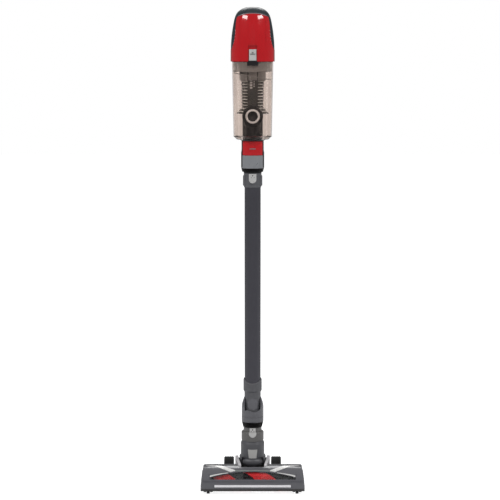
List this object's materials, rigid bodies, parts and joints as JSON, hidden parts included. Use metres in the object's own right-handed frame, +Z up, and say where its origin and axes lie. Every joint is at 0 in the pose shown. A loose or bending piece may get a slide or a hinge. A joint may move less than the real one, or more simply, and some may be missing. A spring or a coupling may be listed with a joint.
{
  "type": "cordless stick vacuum cleaner",
  "caption": "Upright cordless stick vacuum: motor unit with loop handle, clear cyclone bin, metal wand, hinged swivelling neck and powered floor head with a roller window.",
  "frame": {"origin": "on the floor below the wand's axis, which is the middle of the cleaner's outline", "axes": "+Z up along the wand, +X to the right of someone who faces the cleaner's front, +Y to the back where the user and handle are"},
  "size_m": [0.2364, 0.224, 1.0987],
  "materials": {
    "black_plastic": "satin moulding",
    "blue_grey_plastic": "gloss moulding",
    "board_green": "circuit board",
    "bright_ring": "polished ring",
    "bristle": "dense nylon bristles",
    "cell_wrap": "wrapped cells",
    "charcoal_plastic": "fine satin moulding",
    "clear_window": "transparent plastic",
    "fan_metal": "machined",
    "foam": "open foam",
    "grey_tube": "grey metallic paint",
    "lens_white": "frosted lens",
    "pale_plastic": "light grey moulding",
    "pile": "black and red bristle strips",
    "red_gloss": "clear-coated gloss",
    "rubber": "matt rubber",
    "silver_plastic": "silver painted plastic",
    "smoky_clear": "transparent smoky plastic",
    "steel": "plain steel",
    "tyre_rubber": "matt tread"
  },
  "bodies": {
    "floor_head": {"head_base": "charcoal_plastic", "head_cover": "blue_grey_plastic", "head_window": "clear_window", "trim_bands": "silver_plastic", "hinge_cheeks": "pale_plastic", "led_lens": "lens_white", "led_board": "board_green", "brush_motor": "steel", "drive_belt": "rubber", "wheel_axles": "steel", "sole_strip": "rubber", "head_screws": "steel"},
    "brush_roll": {"brush_core": "black_plastic", "brush_pile": "pile"},
    "drive_pulley": {"motor_pulley": "steel"},
    "wheel_right": {"wheel_hub_right": "charcoal_plastic", "wheel_tyre_right": "tyre_rubber"},
    "wheel_left": {"wheel_hub_left": "charcoal_plastic", "wheel_tyre_left": "tyre_rubber"},
    "roller_right": {"front_roller_right": "black_plastic"},
    "roller_left": {"front_roller_left": "black_plastic"},
    "neck": {"neck_front": "charcoal_plastic", "neck_rear": "charcoal_plastic"},
    "lock_plate": {"neck_button": "pale_plastic"},
    "swivel": {"swivel_socket": "charcoal_plastic"},
    "neck_catch": {"wand_latch": "silver_plastic"},
    "wand": {"wand_tube": "grey_tube", "wand_adaptor": "charcoal_plastic", "wand_socket": "charcoal_plastic"},
    "wand_pad": {"wand_brush_button": "blue_grey_plastic"},
    "wand_brush": {"wand_brush_sleeve": "blue_grey_plastic", "wand_bristles": "bristle"},
    "wand_catch": {"handheld_latch": "silver_plastic"},
    "dust_bin": {"nozzle": "black_plastic", "boss_ring": "bright_ring", "boss_cap": "black_plastic", "bin_cup": "smoky_clear", "separator": "pale_plastic", "cyclone_ramp": "pale_plastic", "filter_housing": "charcoal_plastic", "foam_filter": "foam", "bin_seal": "rubber", "bin_catch": "black_plastic"},
    "nozzle_panel": {"brush_release": "red_gloss"},
    "nozzle_brush": {"hand_brush_slider": "silver_plastic", "hand_bristles": "bristle"},
    "motor_unit": {"front_cover": "red_gloss", "rear_housing": "charcoal_plastic", "handle": "charcoal_plastic", "grip_pad": "rubber", "battery_case": "charcoal_plastic", "battery_lid": "charcoal_plastic", "battery_cells": "cell_wrap", "charge_jack": "black_plastic", "motor_case": "black_plastic", "stator": "steel", "circuit_board": "board_green"},
    "bin_slide": {"bin_latch": "silver_plastic"},
    "fan": {"fan_rotor": "fan_metal"},
    "power_slide": {"power_switch": "red_gloss"}
  },
  "joints": [
    {"name": "brush_spin", "type": "hinge", "parent": "floor_head", "child": "brush_roll", "pos_m": [0, -0.07, 0.0255], "axis": [1, 0, 0], "continuous": true},
    {"name": "pulley_spin", "type": "hinge", "parent": "floor_head", "child": "drive_pulley", "pos_m": [0.09, -0.03, 0.025], "axis": [1, 0, 0], "continuous": true},
    {"name": "right_wheel_spin", "type": "hinge", "parent": "floor_head", "child": "wheel_right", "pos_m": [0.057, 0.05, 0.025], "axis": [1, 0, 0], "continuous": true},
    {"name": "left_wheel_spin", "type": "hinge", "parent": "floor_head", "child": "wheel_left", "pos_m": [-0.057, 0.05, 0.025], "axis": [1, 0, 0], "continuous": true},
    {"name": "right_roller_spin", "type": "hinge", "parent": "floor_head", "child": "roller_right", "pos_m": [0.101, -0.1, 0.0055], "axis": [1, 0, 0], "continuous": true},
    {"name": "left_roller_spin", "type": "hinge", "parent": "floor_head", "child": "roller_left", "pos_m": [-0.101, -0.1, 0.0055], "axis": [1, 0, 0], "continuous": true},
    {"name": "neck_tilt", "type": "hinge", "parent": "floor_head", "child": "neck", "pos_m": [0, 0.016, 0.05], "axis": [-1, 0, 0], "range_deg": [0, 80]},
    {"name": "lock_plate_press", "type": "slide", "parent": "neck", "child": "lock_plate", "axis": [0, 1, 0], "range_m": [0, 0.0015], "stiffness_N_per_m": 300},
    {"name": "neck_swivel", "type": "hinge", "parent": "neck", "child": "swivel", "pos_m": [0, 0, 0.103], "axis": [0, 0, 1], "range_deg": [-90, 90]},
    {"name": "neck_catch_press", "type": "slide", "parent": "swivel", "child": "neck_catch", "axis": [0, 1, 0], "range_m": [0, 0.0012], "stiffness_N_per_m": 300},
    {"name": "wand_lift", "type": "slide", "parent": "swivel", "child": "wand", "axis": [0, 0, 1], "range_m": [0, 0.06]},
    {"name": "wand_pad_press", "type": "slide", "parent": "wand", "child": "wand_pad", "axis": [0, 1, 0], "range_m": [0, 0.0015], "stiffness_N_per_m": 300},
    {"name": "wand_brush_slide", "type": "slide", "parent": "wand", "child": "wand_brush", "axis": [0, 0, -1], "range_m": [0, 0.01]},
    {"name": "wand_catch_press", "type": "slide", "parent": "wand", "child": "wand_catch", "axis": [0, 1, 0], "range_m": [0, 0.0012], "stiffness_N_per_m": 300},
    {"name": "handheld_lift", "type": "slide", "parent": "wand", "child": "dust_bin", "axis": [0, 0, 1], "range_m": [0, 0.07]},
    {"name": "nozzle_panel_press", "type": "slide", "parent": "dust_bin", "child": "nozzle_panel", "axis": [0, 1, 0], "range_m": [0, 0.001], "stiffness_N_per_m": 300},
    {"name": "nozzle_brush_slide", "type": "slide", "parent": "dust_bin", "child": "nozzle_brush", "axis": [0, 0, -1], "range_m": [0, 0.02]},
    {"name": "motor_unit_lift", "type": "slide", "parent": "dust_bin", "child": "motor_unit", "axis": [0, 0, 1], "range_m": [0, 0.06]},
    {"name": "bin_slide_up", "type": "slide", "parent": "motor_unit", "child": "bin_slide", "axis": [0, 0, 1], "range_m": [0, 0.005], "stiffness_N_per_m": 300},
    {"name": "fan_spin", "type": "hinge", "parent": "motor_unit", "child": "fan", "pos_m": [0, 0, 1.03], "axis": [0, 0, 1], "continuous": true},
    {"name": "power_slide_back", "type": "slide", "parent": "motor_unit", "child": "power_slide", "axis": [0, 1, 0], "range_m": [0, 0.008]}
  ],
  "couplings": [
    {"joint": "pulley_spin", "follows": "brush_spin", "ratio": 1.6667}
  ]
}
